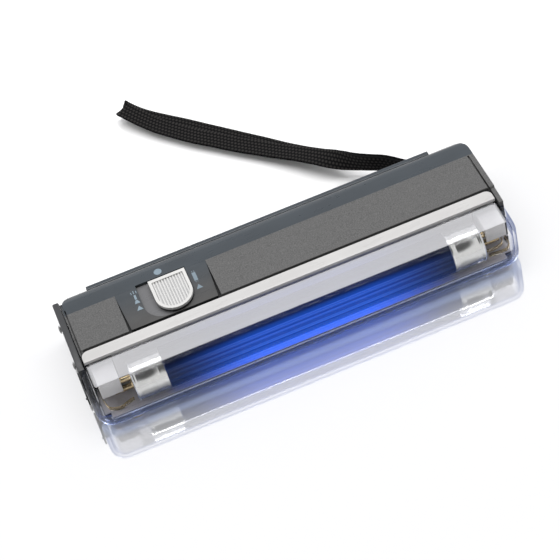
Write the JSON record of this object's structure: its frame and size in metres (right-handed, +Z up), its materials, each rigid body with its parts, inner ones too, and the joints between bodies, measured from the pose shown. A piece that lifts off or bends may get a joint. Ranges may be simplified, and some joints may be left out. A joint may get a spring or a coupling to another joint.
{
  "type": "counterfeit bill detector",
  "caption": "Handheld ultraviolet banknote detector with a tube lamp under a clear cover, a three-position slide switch, a torch end, a sliding battery door and a folded wrist strap",
  "frame": {"origin": "middle of the bottom face of the body, where it rests on a table, with the loose wrist strap left out", "axes": "X runs along the lamp with the torch end at -X; -Y is the side of the clear lamp cover and +Y the side of the strap; Z points up out of the switch face"},
  "size_m": [0.1662, 0.1535, 0.022],
  "materials": {
    "housing_plastic": "charcoal moulded plastic, textured pads and glossy edges",
    "black_plastic": "dark moulded plastic",
    "white_plastic": "white moulded plastic",
    "ivory_plastic": "ivory moulded plastic",
    "clear_plastic": "clear moulded plastic, faintly blue",
    "lamp_glass": "dark blue filter glass",
    "lens_glass": "clear lens",
    "nickel": "nickel-plated steel",
    "aluminium_cap": "bright aluminium",
    "mirror_bowl": "vacuum-metallised reflector",
    "contact_brass": "sprung brass",
    "cell_can": "printed sleeve on a cell",
    "fibre_board": "green fibre board",
    "ferrite": "ferrite",
    "winding": "taped winding",
    "component_case": "moulded component case",
    "film_case": "dipped film capacitor",
    "red_insulation": "red wire insulation",
    "black_insulation": "black wire insulation",
    "strap_webbing": "black woven tape"
  },
  "bodies": {
    "body": {"top_cover": "housing_plastic", "bottom_shell": "black_plastic", "torch_end_plate": "black_plastic", "end_screw_front": "nickel", "end_screw_rear": "nickel", "torch_lens": "lens_glass", "torch_reflector": "mirror_bowl", "torch_bulb": "lens_glass", "bulb_base": "contact_brass", "bulb_holder": "black_plastic", "reflector_tray": "ivory_plastic", "lamp_holder_left": "white_plastic", "lamp_holder_right": "white_plastic", "contact_left_front": "contact_brass", "contact_left_rear": "contact_brass", "contact_right_front": "contact_brass", "contact_right_rear": "contact_brass", "uv_tube": "lamp_glass", "tube_cap_left": "aluminium_cap", "tube_cap_right": "aluminium_cap", "tube_pins_left": "contact_brass", "tube_pins_right": "contact_brass", "switch_body": "nickel", "circuit_board": "fibre_board", "transformer_core": "ferrite", "transformer_coil": "winding", "transistor": "component_case", "electrolytic_capacitor": "aluminium_cap", "film_capacitor": "film_case", "aa_cell_1": "cell_can", "aa_cell_2": "cell_can", "aa_cell_3": "cell_can", "aa_cell_4": "cell_can", "battery_spring_left": "nickel", "battery_spring_right": "nickel", "contact_plate_negative": "nickel", "contact_plate_positive": "nickel", "contact_bridge": "nickel", "lead_battery_red": "red_insulation", "lead_battery_black": "black_insulation", "lead_torch": "red_insulation", "lead_lamp_left": "black_insulation", "lead_lamp_right": "black_insulation", "housing_screw_1": "nickel", "housing_screw_2": "nickel", "housing_screw_3": "nickel", "housing_screw_4": "nickel", "wrist_strap": "strap_webbing", "strap_toggle": "black_plastic"},
    "cover": {"clear_cover": "clear_plastic"},
    "door": {"battery_door": "black_plastic"},
    "switch": {"switch_knob": "ivory_plastic", "switch_slider": "white_plastic"}
  },
  "joints": [
    {"name": "switch_slide", "type": "slide", "parent": "body", "child": "switch", "axis": [1, 0, 0], "range_m": [-0.0044, 0]},
    {"name": "battery_door_slide", "type": "slide", "parent": "body", "child": "door", "axis": [1, 0, 0], "range_m": [0, 0.118]},
    {"name": "clear_cover_slide", "type": "slide", "parent": "body", "child": "cover", "axis": [0, -1, 0], "range_m": [0, 0.03]}
  ]
}
